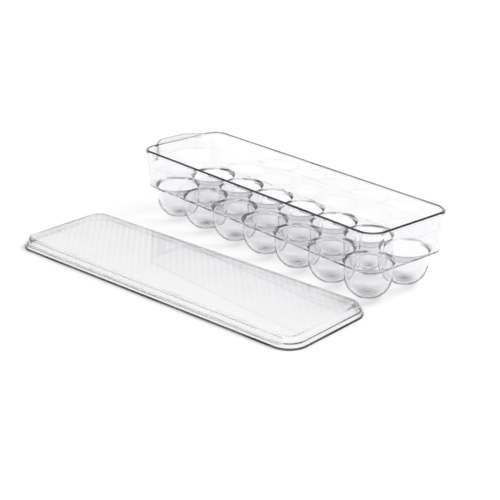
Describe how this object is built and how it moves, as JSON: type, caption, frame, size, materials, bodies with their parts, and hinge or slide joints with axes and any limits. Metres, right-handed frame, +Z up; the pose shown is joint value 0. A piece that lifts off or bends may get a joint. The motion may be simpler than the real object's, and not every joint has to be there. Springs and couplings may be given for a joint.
{
  "type": "egg keeper with lid",
  "caption": "Clear plastic refrigerator egg tray with two rows of deep egg cups, tall leaning walls, a finger handle at one end and a separate lift-off lid.",
  "frame": {"origin": "middle of the flat foot of the front row's middle cup, on the plane of all fourteen feet", "axes": "+X along the tray away from the finger handle, +Y towards the rear row of cups, +Z up; the lid lies flat on the same plane on the -Y side"},
  "size_m": [0.3804, 0.2628, 0.0772],
  "materials": {
    "clear_tray_plastic": "clear moulded plastic, high gloss",
    "clear_lid_plastic": "clear moulded plastic, high gloss outside, finely ribbed underside"
  },
  "bodies": {
    "tray": {"tray_walls": "clear_tray_plastic", "finger_handle": "clear_tray_plastic", "egg_cup_front_1": "clear_tray_plastic", "egg_cup_front_2": "clear_tray_plastic", "egg_cup_front_3": "clear_tray_plastic", "egg_cup_front_4": "clear_tray_plastic", "egg_cup_front_5": "clear_tray_plastic", "egg_cup_front_6": "clear_tray_plastic", "egg_cup_front_7": "clear_tray_plastic", "egg_cup_rear_1": "clear_tray_plastic", "egg_cup_rear_2": "clear_tray_plastic", "egg_cup_rear_3": "clear_tray_plastic", "egg_cup_rear_4": "clear_tray_plastic", "egg_cup_rear_5": "clear_tray_plastic", "egg_cup_rear_6": "clear_tray_plastic", "egg_cup_rear_7": "clear_tray_plastic"},
    "lid": {"lid": "clear_lid_plastic"}
  },
  "joints": [
    {"name": "lid_lift", "type": "slide", "parent": "tray", "child": "lid", "axis": [0, -0.5, 0.866], "range_m": [0, 0.12]}
  ]
}
